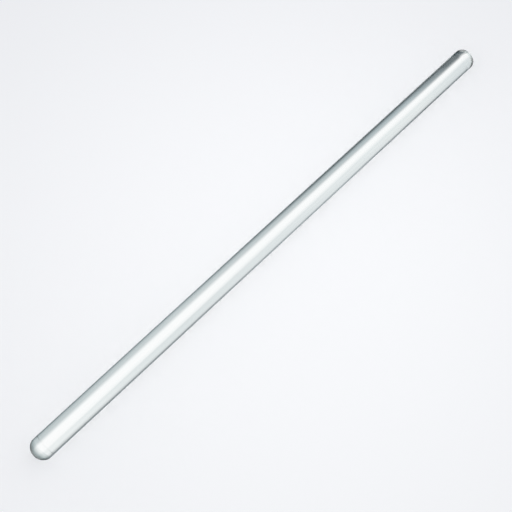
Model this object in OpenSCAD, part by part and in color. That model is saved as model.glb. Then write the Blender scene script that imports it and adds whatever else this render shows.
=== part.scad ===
// Glass stirring rod: one solid length of drawn glass with both ends rounded in a flame.
// Millimetres. The rod lies level along X, its axis on the X axis and the origin at mid-length.
// The stirring end points to -X and the upper end, which the fingers hold, points to +X.

/* [Rod] */
// Length of the rod from tip to tip
rod_length = 155; // [40:1:400]
// Diameter of the drawn glass
rod_d = 6; // [5:0.1:12]

/* [Ends] */
// Radius of the stirring end's shoulder, where the side of the rod turns in
stir_shoulder_r = 1.8; // [0.4:0.1:2.4]
// Radius of the upper end's shoulder, where the side of the rod turns in
upper_shoulder_r = 1.4; // [0.4:0.1:2.4]

/* [Hidden] */
$fn = 96;

// Direction in which an end's two arcs meet, seen from both their centres: the slope of a 3-4-5
// triangle, so that their centres and meeting point are exact numbers.
MEET = [0.8, 0.6];

rod_r = rod_d / 2;
stir_dome = dome_height(stir_shoulder_r);
upper_dome = dome_height(upper_shoulder_r);
shaft_length = rod_length - stir_dome - upper_dome;

// The crown's centre lies on the axis, this far below the level of the shoulder's centre.
function crown_drop(shoulder_r) = (rod_r - shoulder_r) * MEET[1] / MEET[0];
function crown_radius(shoulder_r) = shoulder_r + (rod_r - shoulder_r) / MEET[0];
function dome_height(shoulder_r) = crown_radius(shoulder_r) - crown_drop(shoulder_r);

// Half outline of an end, from the shaft at y = 0 to its tip on the axis at x = 0. The shoulder is
// an arc tangent to the side of the rod, and the crown an arc tangent to the shoulder.
module dome_profile(shoulder_r) {
    shoulder_x = rod_r - shoulder_r;
    crown_r = crown_radius(shoulder_r);
    crown_y = -crown_drop(shoulder_r);
    intersection() {
        translate([0, crown_y]) circle(crown_r);
        polygon([
            [0, 0], [shoulder_x, 0],
            [0, crown_y] + 2 * crown_r * MEET,
            [0, crown_y + 2 * crown_r]
        ]);
    }
    translate([shoulder_x, 0]) intersection() {
        circle(shoulder_r);
        polygon([[0, 0], [2 * shoulder_r, 0], 2 * shoulder_r * MEET]);
    }
}

module stirring_rod() {
    color("lightcyan", 0.6)
    rotate([0, 90, 0])
    rotate_extrude() {
        translate([0, stir_dome - rod_length / 2]) {
            square([rod_r, shaft_length]);
            mirror([0, 1]) dome_profile(stir_shoulder_r);
        }
        translate([0, rod_length / 2 - upper_dome]) dome_profile(upper_shoulder_r);
    }
}

stirring_rod();
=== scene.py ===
"""Glass stirring rod: a solid rod of drawn glass with both ends rounded in a flame.

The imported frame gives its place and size: it lies level along X, the stirring end towards -X.
The script models the rod, gives it its glass, and sets a small studio stage around it.
"""

import math

import bpy
from bpy.props import FloatProperty, FloatVectorProperty, IntProperty, PointerProperty
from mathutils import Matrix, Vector


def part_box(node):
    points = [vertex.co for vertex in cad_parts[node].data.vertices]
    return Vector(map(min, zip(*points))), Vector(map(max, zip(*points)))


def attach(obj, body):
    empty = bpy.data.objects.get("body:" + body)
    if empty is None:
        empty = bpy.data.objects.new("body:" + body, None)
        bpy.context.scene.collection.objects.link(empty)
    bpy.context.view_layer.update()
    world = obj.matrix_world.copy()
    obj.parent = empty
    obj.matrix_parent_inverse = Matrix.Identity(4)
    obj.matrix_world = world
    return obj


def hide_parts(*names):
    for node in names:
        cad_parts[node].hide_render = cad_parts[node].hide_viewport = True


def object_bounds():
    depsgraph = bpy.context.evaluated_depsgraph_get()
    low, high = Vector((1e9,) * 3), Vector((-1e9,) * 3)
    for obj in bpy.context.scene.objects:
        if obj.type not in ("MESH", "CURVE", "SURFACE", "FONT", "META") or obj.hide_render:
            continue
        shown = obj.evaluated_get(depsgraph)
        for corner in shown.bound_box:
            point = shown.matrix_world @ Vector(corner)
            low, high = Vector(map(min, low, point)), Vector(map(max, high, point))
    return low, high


bl_info = {
    "name": "Glass Stirring Rod",
    "version": (1, 0, 0),
    "blender": (4, 5, 0),
    "location": "3D View > Sidebar > Stirring Rod",
    "description": "Models a drawn glass stirring rod and the stage it lies on",
    "category": "Add Mesh",
}

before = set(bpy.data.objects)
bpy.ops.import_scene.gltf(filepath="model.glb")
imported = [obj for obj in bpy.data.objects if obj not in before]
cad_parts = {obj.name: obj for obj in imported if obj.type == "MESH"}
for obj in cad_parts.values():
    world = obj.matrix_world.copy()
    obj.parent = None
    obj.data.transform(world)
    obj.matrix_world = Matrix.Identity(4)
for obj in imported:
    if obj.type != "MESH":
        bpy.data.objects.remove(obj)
CAD_LOW, CAD_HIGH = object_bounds()
ROD_LOW, ROD_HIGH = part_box("stirring_rod")

MM = 0.001
STIR_TIP = ROD_LOW.x
UPPER_TIP = ROD_HIGH.x

# Direction in which an end's two arcs meet: the slope of a 3-4-5 triangle, as in the CAD rod.
MEET_OUT, MEET_ALONG = 0.8, 0.6
# An end's bend changes from one arc to the next over this share of the shoulder's arc, each way.
EASING_SHARE = 0.49
RINGS_PER_END = 60
STRIDES_PER_RING = 8
SHAFT_RINGS = 72
# The drawn radius wanders in two waves: how many fit the shaft, their height and where they start.
DRIFT_WAVES = ((2.3, 1.0, 0.6), (5.1, 0.6, 0.0))

# Colours of the stage.
WHITE = "#ffffff"
# The floor's colour far out, the greyest of its painted falloff of light.
FAR_FLOOR_SHADE = "#f1f2f5"
PALE_CARD = "#e4e5e6"
DIM_CARD = "#6f7b7d"
DARK_CARD = "#3a4b51"
# The colour of the collar's darker side is painted shade, which only the glass shows.
COLLAR_SIDE_SHADE = "#dcdfe0"

# The floor's colour carries a painted pool of light: it is palest at this point, to the first distance from
# it, and greyest past the second.
PAINTED_LIGHT_CENTRE = (-8 * MM, -22 * MM, CAD_LOW.z)
PAINTED_FALLOFF_REACH = (15 * MM, 160 * MM)

# The strips of card inside the light tunnel run all along the rod and have a shade of their own at each
# of these places, in order from the stirring end.
STATIONS = (
    STIR_TIP - 2.5 * MM,
    STIR_TIP + 47.5 * MM,
    STIR_TIP + 102.5 * MM,
    UPPER_TIP - 17.5 * MM,
    UPPER_TIP + 8.5 * MM,
)
# Each strip is laid over the ones before it. An angle is counted round the rod in degrees, 0 straight
# below and + towards +Y. An edge has its angle at the first station, its angle at the last station and
# how wide its soft change is.
STRIPS = (
    {"first": (-57, -57, 8), "last": (-2, -2, 18),
     "shades": ("#a1adb0", "#a7b2b5", "#5f6c70", "#4e5f65", "#36494f")},
    {"first": (-20, -14, 30), "last": (0, -1, 16),
     "shades": ("#c2cbcd", "#cbd3d5", "#bac5c8", "#b1bfc4", "#18282f")},
    {"first": (24, 17, 15), "last": (75, 75, 15),
     "shades": ("#f2f5f5", "#e2e7e8", "#e4e9ea", "#e8ecec", "#d8dee0")},
    {"first": (23, 23, 6), "last": (29, 28, 8),
     "shades": ("#ecf0f0", "#d9dfe0", "#e2e7e8", "#e8ecec", "#d8dee0")},
)
# Bars of dark gel close round the rod, set out in the same way. The glass shows them along its edges.
FLANK_SHADES = ("#8d9597",) * len(STATIONS)
BARS = (
    {"first": (27, 37, 22), "last": (54, 72, 12),
     "shades": ("#4f5b60", "#58646a", "#aeb8bb", "#46535a", "#a3adb0")},
    {"first": (-50, -50, 8), "last": (-6, -7, 8),
     "shades": ("#949fa3", "#a2adb1", "#939fa3", "#8c989c", "#828e92")},
    {"first": (88, 88, 16), "last": (122, 122, 16), "shades": FLANK_SHADES},
    {"first": (-122, -122, 16), "last": (-88, -88, 16), "shades": FLANK_SHADES},
)

# Plain cards. A card has soft edges, each given as where it begins and where the card is whole: along
# the rod, round it, or round it in the same way on both sides.
ROOF_CARDS = (
    {"colour": PALE_CARD, "both_sides": [(118, 132)]},
)
END_CARDS = (
    # Past the stirring end the strips give way to white.
    {"colour": WHITE, "along": [(STIR_TIP - 4.5 * MM, STIR_TIP - 10.5 * MM)]},
    # A dim band just past the stirring end is mirrored by the outermost rim of its dome.
    {"colour": DIM_CARD, "both_sides": [(70, 50)],
     "along": [(STIR_TIP - 1 * MM, STIR_TIP - 2.5 * MM), (STIR_TIP - 12.5 * MM, STIR_TIP - 7.5 * MM)]},
    # Past the upper end one side of the tunnel stays light, for the rim of that dome.
    {"colour": PALE_CARD, "round": [(-34, -44)],
     "along": [(UPPER_TIP + 1.5 * MM, UPPER_TIP + 4 * MM)]},
    # Farther out nothing dark is left on any side for that rim to mirror.
    {"colour": PALE_CARD, "along": [(UPPER_TIP + 8.5 * MM, UPPER_TIP + 11.5 * MM)]},
    # Close to the upper end a dark card is bent into view by the shoulder of the dome.
    {"colour": DARK_CARD, "round": [(-45, -35), (-4, -16)],
     "along": [(UPPER_TIP - 3 * MM, UPPER_TIP - 0.5 * MM), (UPPER_TIP + 3.5 * MM, UPPER_TIP + 1.5 * MM)]},
)
# The gel of the bars turns clear over the domes.
CLEAR_ENDS = (
    {"colour": WHITE, "along": [(STIR_TIP + 1.1 * MM, STIR_TIP + 0.1 * MM)]},
    {"colour": WHITE, "along": [(UPPER_TIP - 0.9 * MM, UPPER_TIP - 0.1 * MM)]},
)

TUNNEL_LENGTH = 300 * MM
BARS_LENGTH = 170 * MM
TUBE_FACES = 96

# The collar stands on the rod this far in from the stirring tip, and leans out past it by this slope.
COLLAR_SET_BACK = 3.1 * MM
COLLAR_LEAN = 0.16
COLLAR_INNER, COLLAR_OUTER = 3.01 * MM, 11.8 * MM
COLLAR_FACES = 128
# The collar's shades at their distances from the axis of the rod. They are painted shade, darkest next to
# the glass, which the rim of the stirring dome shows in place of the shade round its tip.
COLLAR_SHADE_GRADE = (
    (3.0 * MM, "#202829"), (3.3 * MM, "#202829"), (3.6 * MM, "#3c4748"), (4.0 * MM, "#667374"),
    (4.4 * MM, "#8a9697"), (4.8 * MM, "#a5afb0"), (5.4 * MM, "#c2cacb"), (6.2 * MM, "#d9dede"),
    (7.2 * MM, "#e8ecec"), (8.5 * MM, "#f3f5f5"), (10.0 * MM, "#fbfcfc"), (11.8 * MM, "#ffffff"),
)
# Angles round the rod: where the collar's darker side begins and is whole, its middle line, and how far
# from that line it begins to clear and is clear.
COLLAR_SIDE_EDGE = (14, 46)
COLLAR_MIDDLE = 8
COLLAR_CLEARS = (50, 65)

# Light that runs down the rod is reflected inside it many times before it leaves.
GLASS_BOUNCES = 32


def linear_colour(hex_colour):
    """The linear RGB of an sRGB hex colour such as "#f4f6f8"."""
    def channel(start):
        value = int(hex_colour[start:start + 2], 16) / 255
        return value / 12.92 if value <= 0.04045 else ((value + 0.055) / 1.055) ** 2.4
    return tuple(channel(start) for start in (1, 3, 5))


class RodSettings(bpy.types.PropertyGroup):
    """Sizes and colours of the glass rod."""

    length: FloatProperty(
        name="Length",
        description="Length of the rod from tip to tip",
        default=ROD_HIGH.x - ROD_LOW.x,
        unit="LENGTH",
    )
    diameter: FloatProperty(
        name="Diameter",
        description="Diameter of the drawn glass",
        default=ROD_HIGH.z - ROD_LOW.z,
        unit="LENGTH",
    )
    stir_shoulder: FloatProperty(
        name="Stirring end shoulder",
        description="Radius where the side of the rod turns in at the stirring end",
        default=1.8 * MM,
        unit="LENGTH",
    )
    upper_shoulder: FloatProperty(
        name="Upper end shoulder",
        description="Radius where the side of the rod turns in at the upper end",
        default=1.4 * MM,
        unit="LENGTH",
    )
    facets: IntProperty(
        name="Facets",
        description="Faces round the rod",
        default=160,
        min=24,
    )
    draw_drift: FloatProperty(
        name="Draw drift",
        description="How far the drawn radius wanders along the rod",
        default=0.008 * MM,
        unit="LENGTH",
    )
    density: FloatProperty(
        name="Density",
        description="How strongly thick glass takes the cast, per metre",
        default=2.5,
    )
    cast: FloatVectorProperty(
        name="Cast",
        description="Colour that the iron in the glass gives to thick glass",
        default=linear_colour("#cbdfde"),
        subtype="COLOR",
    )


class StageSettings(bpy.types.PropertyGroup):
    """Floor, lights, the light tunnel and the camera."""

    floor_colour: FloatVectorProperty(
        name="Floor colour",
        description="Colour of the pale floor",
        default=linear_colour("#f8f9fb"),
        subtype="COLOR",
    )
    wall_colour: FloatVectorProperty(
        name="Wall colour",
        description="Colour seen past the floor",
        default=linear_colour("#e9eaed"),
        subtype="COLOR",
    )
    world_strength: FloatProperty(
        name="World strength",
        description="Level of the even light from all round",
        default=0.92,
    )
    world_colour: FloatVectorProperty(
        name="World colour",
        description="Colour of the even light from all round",
        default=(0.99, 0.993, 1.0),
        subtype="COLOR",
    )
    softbox_power: FloatProperty(
        name="Softbox power",
        description="Power of the softbox over the rod, in watts",
        default=0.013,
    )
    softbox_size: FloatProperty(
        name="Softbox size",
        description="Length of each side of the softbox",
        default=120 * MM,
        unit="LENGTH",
    )
    softbox_place: FloatVectorProperty(
        name="Softbox place",
        description="Where the softbox hangs, turned towards the middle of the rod",
        default=(10 * MM, 0, 90 * MM),
        subtype="TRANSLATION",
        unit="LENGTH",
    )
    tunnel_radius: FloatProperty(
        name="Tunnel radius",
        description="Radius of the light tunnel whose strips the glass bends into view",
        default=12.0 * MM,
        unit="LENGTH",
    )
    gathering: FloatProperty(
        name="Gathering",
        description="How much brighter the light gets that the rod passes on to the floor",
        default=1.45,
    )
    bar_radius: FloatProperty(
        name="Bar radius",
        description="Distance of the dark gel bars from the rod's axis",
        default=4.5 * MM,
        unit="LENGTH",
    )
    lens: FloatProperty(
        name="Lens",
        description="Focal length of the camera in millimetres",
        default=50.0,
    )
    azimuth: FloatProperty(
        name="Azimuth",
        description="Where the camera stands round the rod",
        default=math.radians(-44.3),
        subtype="ANGLE",
    )
    elevation: FloatProperty(
        name="Elevation",
        description="How steeply the camera looks down",
        default=math.radians(71.24),
        subtype="ANGLE",
    )
    aim: FloatVectorProperty(
        name="Aim",
        description="The point that the camera looks at",
        default=(-6.647 * MM, -1.006 * MM, 0),
        subtype="TRANSLATION",
        unit="LENGTH",
    )
    distance: FloatProperty(
        name="Distance",
        description="Distance of the camera from the point it looks at",
        default=180.08 * MM,
        unit="LENGTH",
    )


# ---------------------------------------------------------------- modelling helpers


def deselect_all():
    """Leaves edit mode and deselects everything, because an operator acts on all that is selected."""
    if bpy.context.object is not None and bpy.context.object.mode != "OBJECT":
        bpy.ops.object.mode_set(mode="OBJECT")
    bpy.ops.object.select_all(action="DESELECT")


def settle(piece, name):
    """Names a finished object and applies its place, so that it sits unturned at the origin."""
    piece.name = name
    piece.data.name = name
    bpy.ops.object.transform_apply(location=True, rotation=True, scale=True)
    return piece


def add_ring(name, x, radius, faces):
    """A bare ring round the axis of the rod, ready to be extruded."""
    deselect_all()
    bpy.ops.mesh.primitive_circle_add(
        vertices=faces, radius=radius, fill_type="NOTHING", location=(x, 0, 0), rotation=(0, math.pi / 2, 0))
    ring = settle(bpy.context.object, name)
    bpy.ops.object.mode_set(mode="EDIT")
    bpy.ops.mesh.select_all(action="SELECT")
    return ring


def next_ring(x_from, x_to, radius_from, radius_to):
    """Extrudes the selected ring along X and brings it to its new radius."""
    bpy.ops.mesh.extrude_region_move(TRANSFORM_OT_translate={"value": (x_to - x_from, 0, 0)})
    scale = radius_to / radius_from
    bpy.ops.transform.resize(value=(1, scale, scale), center_override=(x_to, 0, 0))


def draw_out(rings, tip):
    """Extrudes the selected ring, the first one, through all the others and closes it at the tip."""
    for (x_from, radius_from), (x_to, radius_to) in zip(rings, rings[1:]):
        next_ring(x_from, x_to, radius_from, radius_to)
    bpy.ops.mesh.extrude_region_move(TRANSFORM_OT_translate={"value": (tip - rings[-1][0], 0, 0)})
    bpy.ops.mesh.merge(type="CENTER")


def ease(share):
    """Goes from 0 to 1 with a level start and a level finish."""
    share = min(max(share, 0.0), 1.0)
    return share * share * (3 - 2 * share)


def dome_rings(radius, shoulder):
    """Rings of one end as (distance past the shaft, ring radius) without its pole, and the end's reach.

    The outline is walked from a little before the end of the shaft. Its bend eases from straight to the
    shoulder's arc and on to the crown's, as surface tension leaves it, so that no line shows in the glass.
    """
    turn_in = radius - shoulder
    crown = shoulder + turn_in / MEET_OUT
    reach = crown - turn_in * MEET_ALONG / MEET_OUT
    meet = math.atan2(MEET_ALONG, MEET_OUT)
    shoulder_run = shoulder * meet
    crown_run = crown * (math.pi / 2 - meet)
    easing = EASING_SHARE * shoulder_run
    strides = RINGS_PER_END * STRIDES_PER_RING
    stride = (easing + shoulder_run + crown_run) / strides
    along, out, heading = -easing, radius, 0.0
    walk = [(along, out)]
    for count in range(strides):
        run = -easing + (count + 0.5) * stride
        bend = ease((run + easing) / (2 * easing)) / shoulder
        bend += ease((run - shoulder_run + easing) / (2 * easing)) * (1 / crown - 1 / shoulder)
        heading += bend * stride / 2
        along += math.cos(heading) * stride
        out -= math.sin(heading) * stride
        heading += bend * stride / 2
        walk.append((along, out))
    # The walk ends a hundredth of a millimetre off the tip, and is stretched to meet it.
    stretch_along = (reach + easing) / (along + easing)
    stretch_out = radius / (radius - out)
    walk = [(-easing + (x + easing) * stretch_along, radius - (radius - r) * stretch_out) for x, r in walk]
    return walk[:-1:STRIDES_PER_RING], reach


def shaft_rings(start, end, radius, drift):
    """Rings of the shaft as (place, ring radius) without the last one, with the drift of drawn rod."""
    rings = [(start, radius)]
    for step in range(1, SHAFT_RINGS):
        share = step / SHAFT_RINGS
        wander = sum(height * math.sin(2 * math.pi * waves * share + begin)
                     for waves, height, begin in DRIFT_WAVES)
        fade = math.sin(math.pi * share)
        rings.append((start + (end - start) * share, radius + drift * wander * fade))
    return rings


# ---------------------------------------------------------------- materials


def add_node(tree, kind, settings=None, inputs=None, links=None):
    """Adds a node, sets its properties and inputs, and links sockets into it."""
    node = tree.nodes.new(kind)
    for name, value in (settings or {}).items():
        setattr(node, name, value)
    for name, value in (inputs or {}).items():
        node.inputs[name].default_value = value
    for name, socket in (links or {}).items():
        tree.links.new(socket, node.inputs[name])
    return node


def new_material(name):
    """A material with an empty node tree."""
    material = bpy.data.materials.new(name)
    material.use_nodes = True
    material.node_tree.nodes.clear()
    return material


def set_stops(ramp, stops):
    """Gives a colour ramp its stops, each a position and a hex colour."""
    elements = ramp.color_ramp.elements
    while len(elements) < len(stops):
        elements.new(0.5)
    for element, (position, colour) in zip(elements, stops):
        element.position = position
        element.color = (*linear_colour(colour), 1)


def unevenness(tree, size, detail, roughness):
    """A pattern of the melt on the rod's own coordinates: its size in mm along X, Y and Z."""
    place = add_node(tree, "ShaderNodeTexCoord")
    stretched = add_node(tree, "ShaderNodeMapping", inputs={"Scale": [1 / side for side in size]},
                         links={"Vector": place.outputs["Object"]})
    pattern = add_node(tree, "ShaderNodeTexNoise",
                       inputs={"Scale": 1 / MM, "Detail": detail, "Roughness": roughness},
                       links={"Vector": stretched.outputs["Vector"]})
    return pattern.outputs["Fac"]


def drawn_glass(cast, density):
    """Soda-lime glass, drawn down to rod and fire-polished at the ends.

    Drawing pulls every unevenness of the melt out into long faint lines, so the surface is smooth to the
    touch but the light in it runs in streaks along the rod. Handling and washing leave a thin haze.
    """
    material = new_material("drawn_soda_lime_glass")
    tree = material.node_tree
    # Draw lines: about 0.8 mm apart round the rod and 60 mm long.
    lines = unevenness(tree, (60, 0.8, 0.8), detail=2.0, roughness=0.45)
    # Swell: slow changes of thickness 18 mm long and as wide as the rod.
    swell = unevenness(tree, (18, 6, 6), detail=1.0, roughness=0.4)
    # Haze: a faint film in patches about 4 mm long and 1.5 mm wide.
    haze = unevenness(tree, (4, 1.5, 1.5), detail=3.0, roughness=0.6)
    swell_bump = add_node(tree, "ShaderNodeBump", inputs={"Strength": 1.0, "Distance": 0.012 * MM},
                          links={"Height": swell})
    line_bump = add_node(tree, "ShaderNodeBump", inputs={"Strength": 1.0, "Distance": 0.004 * MM},
                         links={"Height": lines, "Normal": swell_bump.outputs["Normal"]})
    roughness = add_node(tree, "ShaderNodeMapRange",
                         inputs={"From Min": 0.35, "From Max": 0.7, "To Min": 0.0, "To Max": 0.03},
                         links={"Value": haze})
    tint = add_node(tree, "ShaderNodeValToRGB", links={"Fac": lines})
    set_stops(tint, ((0.3, "#fafdfd"), (0.7, "#ffffff")))
    glass = add_node(tree, "ShaderNodeBsdfPrincipled", inputs={
        "IOR": 1.52,
        "Transmission Weight": 1.0,
    }, links={
        "Base Color": tint.outputs["Color"],
        "Roughness": roughness.outputs["Result"],
        "Normal": line_bump.outputs["Normal"],
    })
    absorb = add_node(tree, "ShaderNodeVolumeAbsorption", inputs={
        "Color": (*cast, 1),
        "Density": density,
    })
    add_node(tree, "ShaderNodeOutputMaterial", links={
        "Surface": glass.outputs["BSDF"],
        "Volume": absorb.outputs["Volume"],
    })
    return material


# ---------------------------------------------------------------- materials of the stage


def along_and_round(tree):
    """Where a point is along the rod, and its angle round it: 0 straight below and + towards +Y."""
    place = add_node(tree, "ShaderNodeTexCoord")
    split = add_node(tree, "ShaderNodeSeparateXYZ", links={"Vector": place.outputs["Object"]})
    below = add_node(tree, "ShaderNodeMath", {"operation": "MULTIPLY"}, {1: -1.0}, {0: split.outputs["Z"]})
    turn = add_node(tree, "ShaderNodeMath", {"operation": "ARCTAN2"},
                    links={0: split.outputs["Y"], 1: below.outputs["Value"]})
    degrees = add_node(tree, "ShaderNodeMath", {"operation": "DEGREES"}, links={0: turn.outputs["Value"]})
    return split.outputs["X"], degrees.outputs["Value"]


def laid_over(tree, under, edges, over):
    """One colour with another laid over it inside soft edges.

    An edge is a socket, the value where the colour begins and the value where it covers all. A colour is
    a hex colour, a linear colour or a socket.
    """
    share = None
    for value, start, finish in edges:
        step = add_node(tree, "ShaderNodeMapRange", {"interpolation_type": "SMOOTHSTEP"},
                        {"From Min": min(start, finish), "From Max": max(start, finish),
                         "To Min": float(start > finish), "To Max": float(finish > start)},
                        {"Value": value}).outputs["Result"]
        if share is not None:
            step = add_node(tree, "ShaderNodeMath", {"operation": "MULTIPLY"},
                            links={0: share, 1: step}).outputs["Value"]
        share = step
    mix = add_node(tree, "ShaderNodeMix", {"data_type": "RGBA"}, links={0: share})
    for slot, colour in ((6, under), (7, over)):
        if isinstance(colour, bpy.types.NodeSocket):
            tree.links.new(colour, mix.inputs[slot])
        elif isinstance(colour, str):
            mix.inputs[slot].default_value = (*linear_colour(colour), 1)
        else:
            mix.inputs[slot].default_value = (*colour, 1)
    return mix.outputs[2]


def strips_laid(tree, lit, strips):
    """The colour lit with the strips laid over it one after another."""
    along, angle = along_and_round(tree)
    first, last = STATIONS[0], STATIONS[-1]
    share = add_node(tree, "ShaderNodeMapRange", inputs={"From Min": first, "From Max": last},
                     links={"Value": along}).outputs["Result"]
    positions = [(x - first) / (last - first) for x in STATIONS]
    for strip in strips:
        shade = add_node(tree, "ShaderNodeValToRGB", links={"Fac": share})
        set_stops(shade, list(zip(positions, strip["shades"])))
        edges = []
        for name, side in (("first", 1), ("last", -1)):
            at_stir, at_upper, soft = strip[name]
            edge = add_node(tree, "ShaderNodeMapRange", inputs={"To Min": at_stir, "To Max": at_upper},
                            links={"Value": share})
            past = add_node(tree, "ShaderNodeMath", {"operation": "SUBTRACT"},
                            links={0: angle, 1: edge.outputs["Result"]})
            edges.append((past.outputs["Value"], -side * soft / 2, side * soft / 2))
        lit = laid_over(tree, lit, edges, shade.outputs["Color"])
    return lit


def cards_laid(tree, lit, cards):
    """The colour lit with the plain cards laid over it one after another."""
    along, angle = along_and_round(tree)
    off_bottom = add_node(tree, "ShaderNodeMath", {"operation": "ABSOLUTE"}, links={0: angle})
    measures = {"along": along, "round": angle, "both_sides": off_bottom.outputs["Value"]}
    for card in cards:
        edges = [(socket, *limits) for name, socket in measures.items() for limits in card.get(name, ())]
        lit = laid_over(tree, lit, edges, card["colour"])
    return lit


def white_for_floor(tree, lit):
    """Plain white where the light goes on to the floor, so that the clear glass throws little shadow."""
    path = add_node(tree, "ShaderNodeLightPath")
    return laid_over(tree, lit, [(path.outputs["Diffuse Depth"], 0, 1)], WHITE)


def matt_floor(pale):
    """Uncoated paper, rolled flat: it takes a soft shadow and mirrors nothing; its colour greys farther out
    as a painted falloff of light.
    """
    material = new_material("matt_floor")
    tree = material.node_tree
    place = add_node(tree, "ShaderNodeTexCoord")
    off = add_node(tree, "ShaderNodeVectorMath", {"operation": "DISTANCE"}, {1: PAINTED_LIGHT_CENTRE},
                   {0: place.outputs["Object"]})
    # Painted light: the floor's colour fades from pale at the centre to grey farther out, like a lamp's
    # falloff.
    painted_falloff = laid_over(tree, pale, [(off.outputs["Value"], *PAINTED_FALLOFF_REACH)], FAR_FLOOR_SHADE)
    diffuse = add_node(tree, "ShaderNodeBsdfDiffuse", links={"Color": painted_falloff})
    add_node(tree, "ShaderNodeOutputMaterial", links={"Surface": diffuse.outputs["BSDF"]})
    return material


def card_strips(gathering):
    """White card lit from behind, with greyer card fixed on it, whose feathered edges show as soft tones.

    The clear rod gathers light on to the floor beside it, which fills most of its own shadow, so the card
    is brighter for the light that goes on to the floor.
    """
    material = new_material("card_strips")
    material.cycles.emission_sampling = "NONE"
    tree = material.node_tree
    lit = cards_laid(tree, WHITE, ROOF_CARDS)
    lit = strips_laid(tree, lit, STRIPS)
    lit = cards_laid(tree, lit, END_CARDS)
    path = add_node(tree, "ShaderNodeLightPath")
    gathered = add_node(tree, "ShaderNodeMapRange", inputs={"To Min": 1.0, "To Max": gathering},
                        links={"Value": path.outputs["Diffuse Depth"]})
    emit = add_node(tree, "ShaderNodeEmission", links={
        "Color": white_for_floor(tree, lit), "Strength": gathered.outputs["Result"]})
    add_node(tree, "ShaderNodeOutputMaterial", links={"Surface": emit.outputs["Emission"]})
    return material


def gel_bars():
    """Dyed polyester gel, cast clear with dark bars: light passes straight through and is only dimmed."""
    material = new_material("gel_bars")
    tree = material.node_tree
    gel = strips_laid(tree, WHITE, BARS)
    gel = cards_laid(tree, gel, CLEAR_ENDS)
    clear = add_node(tree, "ShaderNodeBsdfTransparent", links={"Color": white_for_floor(tree, gel)})
    add_node(tree, "ShaderNodeOutputMaterial", links={"Surface": clear.outputs["BSDF"]})
    return material


def painted_shade_gel():
    """Dyed polyester gel, sprayed from dark at its inner edge to clear at its outer edge: painted shade for
    the glass to show.
    """
    material = new_material("painted_shade_gel")
    tree = material.node_tree
    place = add_node(tree, "ShaderNodeTexCoord")
    across = add_node(tree, "ShaderNodeVectorMath", {"operation": "MULTIPLY"}, {1: (0, 1, 1)},
                      {0: place.outputs["Object"]})
    distance = add_node(tree, "ShaderNodeVectorMath", {"operation": "LENGTH"},
                        links={0: across.outputs["Vector"]})
    first, last = COLLAR_SHADE_GRADE[0][0], COLLAR_SHADE_GRADE[-1][0]
    share = add_node(tree, "ShaderNodeMapRange", inputs={"From Min": first, "From Max": last},
                     links={"Value": distance.outputs["Value"]})
    grade = add_node(tree, "ShaderNodeValToRGB", links={"Fac": share.outputs["Result"]})
    set_stops(grade, [((radius - first) / (last - first), colour) for radius, colour in COLLAR_SHADE_GRADE])
    # To one side of the lowest line the collar has a little more painted shade all the way out.
    angle = along_and_round(tree)[1]
    side = laid_over(tree, WHITE, [(angle, *COLLAR_SIDE_EDGE)], COLLAR_SIDE_SHADE)
    both = add_node(tree, "ShaderNodeMix", {"data_type": "RGBA", "blend_type": "MULTIPLY"}, {0: 1.0},
                    {6: grade.outputs["Color"], 7: side})
    # Towards the sides of the rod it is clear.
    off_middle = add_node(tree, "ShaderNodeMath", {"operation": "SUBTRACT"}, {1: COLLAR_MIDDLE}, {0: angle})
    sideways = add_node(tree, "ShaderNodeMath", {"operation": "ABSOLUTE"},
                        links={0: off_middle.outputs["Value"]})
    film = laid_over(tree, both.outputs[2], [(sideways.outputs["Value"], *COLLAR_CLEARS)], WHITE)
    clear = add_node(tree, "ShaderNodeBsdfTransparent", links={"Color": white_for_floor(tree, film)})
    add_node(tree, "ShaderNodeOutputMaterial", links={"Surface": clear.outputs["BSDF"]})
    return material


# ---------------------------------------------------------------- operators


class STIRRING_ROD_OT_rod(bpy.types.Operator):
    """Models the glass rod where the CAD rod lies"""

    bl_idname = "stirring_rod.rod"
    bl_label = "Add glass rod"

    def execute(self, context):
        rod = context.scene.rod_settings
        radius = rod.diameter / 2
        stir_tip, upper_tip = -rod.length / 2, rod.length / 2
        stir_rings, stir_reach = dome_rings(radius, rod.stir_shoulder)
        upper_rings, upper_reach = dome_rings(radius, rod.upper_shoulder)
        stir_rings = [(stir_tip + stir_reach - along, out) for along, out in stir_rings]
        upper_rings = [(upper_tip - upper_reach + along, out) for along, out in upper_rings]
        start, end = stir_rings[0][0], upper_rings[0][0]

        # The shaft and the upper end are drawn out of the ring where the stirring end begins.
        piece = add_ring("glass_rod", start, radius, rod.facets)
        draw_out(shaft_rings(start, end, radius, rod.draw_drift) + upper_rings, upper_tip)

        # The stirring end is drawn out of the same ring, the other way.
        bpy.ops.mesh.select_all(action="DESELECT")
        bpy.ops.object.mode_set(mode="OBJECT")
        for vertex in piece.data.vertices:
            vertex.select = abs(vertex.co.x - start) < 0.001 * MM
        bpy.ops.object.mode_set(mode="EDIT")
        draw_out(stir_rings, stir_tip)
        bpy.ops.mesh.select_all(action="SELECT")
        bpy.ops.mesh.normals_make_consistent(inside=False)
        bpy.ops.object.mode_set(mode="OBJECT")
        bpy.ops.object.shade_smooth()

        piece.data.materials.append(drawn_glass(rod.cast, rod.density))
        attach(piece, "root")
        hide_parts("stirring_rod")
        return {"FINISHED"}


def add_floor(pale):
    """The pale floor, which the rod touches and the glass itself does not show."""
    deselect_all()
    bpy.ops.mesh.primitive_plane_add(size=4.0, location=(0, 0, CAD_LOW.z))
    floor = settle(bpy.context.object, "floor")
    floor.data.materials.append(matt_floor(pale))
    floor.visible_transmission = False
    floor.visible_glossy = False


def stage_for_glass(thing, material, in_reflections):
    """Finishes a stage piece that only the light which the glass bends or reflects can meet."""
    thing.data.materials.append(material)
    thing.visible_camera = False
    thing.visible_diffuse = False
    thing.visible_glossy = in_reflections
    thing.visible_shadow = False
    thing.visible_volume_scatter = False


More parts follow.
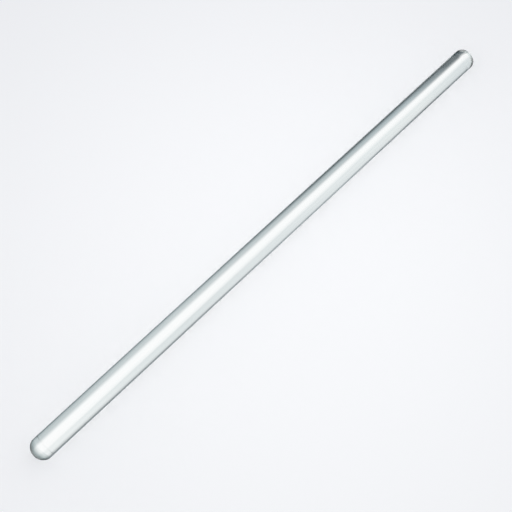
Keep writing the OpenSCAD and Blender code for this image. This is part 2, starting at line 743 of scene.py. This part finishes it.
def add_tube(name, radius, length):
    """An open tube round the rod's axis."""
    deselect_all()
    bpy.ops.mesh.primitive_cylinder_add(
        vertices=TUBE_FACES, radius=radius, depth=length, end_fill_type="NOTHING",
        rotation=(0, math.pi / 2, 0))
    return settle(bpy.context.object, name)


def add_collar():
    """A graded collar round the stirring end, which leans out past it and paints shade into the rim of its
    dome.
    """
    inner_x = STIR_TIP + COLLAR_SET_BACK
    outer_x = inner_x - COLLAR_LEAN * (COLLAR_OUTER - COLLAR_INNER)
    collar = add_ring("graded_collar", inner_x, COLLAR_INNER, COLLAR_FACES)
    next_ring(inner_x, outer_x, COLLAR_INNER, COLLAR_OUTER)
    bpy.ops.object.mode_set(mode="OBJECT")
    return collar


def add_lights(stage):
    """Even light from the world and one softbox over the rod."""
    world = bpy.data.worlds.new("studio")
    world.use_nodes = True
    bpy.context.scene.world = world
    tree = world.node_tree
    tree.nodes.clear()
    light = add_node(tree, "ShaderNodeBackground", inputs={
        "Color": (*stage.world_colour, 1), "Strength": stage.world_strength})
    # What is seen past the floor has the colour of the wall.
    wall = add_node(tree, "ShaderNodeBackground", inputs={
        "Color": (*stage.wall_colour, 1), "Strength": 1.0})
    path = add_node(tree, "ShaderNodeLightPath")
    shiny = add_node(tree, "ShaderNodeMath", {"operation": "MAXIMUM"},
                     links={0: path.outputs["Is Glossy Ray"], 1: path.outputs["Is Transmission Ray"]})
    seen = add_node(tree, "ShaderNodeMath", {"operation": "MAXIMUM"},
                    links={0: path.outputs["Is Camera Ray"], 1: shiny.outputs["Value"]})
    both = add_node(tree, "ShaderNodeMixShader", links={
        0: seen.outputs["Value"], 1: light.outputs["Background"], 2: wall.outputs["Background"]})
    add_node(tree, "ShaderNodeOutputWorld", links={"Surface": both.outputs["Shader"]})

    lamp = bpy.data.lights.new("softbox", "AREA")
    lamp.shape = "SQUARE"
    lamp.size = stage.softbox_size
    lamp.energy = stage.softbox_power
    softbox = bpy.data.objects.new("softbox", lamp)
    bpy.context.scene.collection.objects.link(softbox)
    softbox.location = stage.softbox_place
    softbox.rotation_euler = (-softbox.location).to_track_quat("-Z", "Y").to_euler()
    softbox.visible_camera = False
    softbox.visible_glossy = False
    softbox.visible_transmission = False


def add_camera(stage):
    """The camera, which looks steeply down on the rod from the side of its stirring end."""
    back = Vector((
        math.sin(stage.azimuth) * math.cos(stage.elevation),
        -math.cos(stage.azimuth) * math.cos(stage.elevation),
        math.sin(stage.elevation),
    ))
    camera = bpy.data.objects.new("camera", bpy.data.cameras.new("camera"))
    bpy.context.scene.collection.objects.link(camera)
    camera.location = Vector(stage.aim) + back * stage.distance
    camera.rotation_euler = (-back).to_track_quat("-Z", "Y").to_euler()
    camera.data.lens = stage.lens
    camera.data.clip_start = 10 * MM
    bpy.context.scene.camera = camera


class STIRRING_ROD_OT_stage(bpy.types.Operator):
    """Sets the floor, the lights, the light tunnel and the camera"""

    bl_idname = "stirring_rod.stage"
    bl_label = "Add stage"

    def execute(self, context):
        scene = context.scene
        stage = scene.stage_settings
        add_floor(stage.floor_colour)
        tunnel = add_tube("light_tunnel", stage.tunnel_radius, TUNNEL_LENGTH)
        stage_for_glass(tunnel, card_strips(stage.gathering), in_reflections=True)
        bars = add_tube("rim_bars", stage.bar_radius, BARS_LENGTH)
        stage_for_glass(bars, gel_bars(), in_reflections=True)
        stage_for_glass(add_collar(), painted_shade_gel(), in_reflections=False)
        add_lights(stage)
        add_camera(stage)
        scene.cycles.max_bounces = GLASS_BOUNCES
        scene.cycles.glossy_bounces = GLASS_BOUNCES
        scene.cycles.transmission_bounces = GLASS_BOUNCES
        scene.view_settings.view_transform = "Standard"
        return {"FINISHED"}


class STIRRING_ROD_PT_panel(bpy.types.Panel):
    """Lists the rod and the stage"""

    bl_idname = "STIRRING_ROD_PT_panel"
    bl_label = "Glass Stirring Rod"
    bl_space_type = "VIEW_3D"
    bl_region_type = "UI"
    bl_category = "Stirring Rod"

    def draw(self, context):
        layout = self.layout
        for settings in (context.scene.rod_settings, context.scene.stage_settings):
            box = layout.box()
            for name in settings.bl_rna.properties.keys():
                if name not in {"rna_type", "name"}:
                    box.prop(settings, name)
        layout.operator(STIRRING_ROD_OT_rod.bl_idname)
        layout.operator(STIRRING_ROD_OT_stage.bl_idname)


CLASSES = (
    RodSettings,
    StageSettings,
    STIRRING_ROD_OT_rod,
    STIRRING_ROD_OT_stage,
    STIRRING_ROD_PT_panel,
)


def register():
    for cls in CLASSES:
        bpy.utils.register_class(cls)
    bpy.types.Scene.rod_settings = PointerProperty(type=RodSettings)
    bpy.types.Scene.stage_settings = PointerProperty(type=StageSettings)


def unregister():
    del bpy.types.Scene.stage_settings
    del bpy.types.Scene.rod_settings
    for cls in reversed(CLASSES):
        bpy.utils.unregister_class(cls)


def main():
    register()
    bpy.ops.stirring_rod.rod()
    bpy.ops.stirring_rod.stage()


if __name__ == "__main__":
    main()
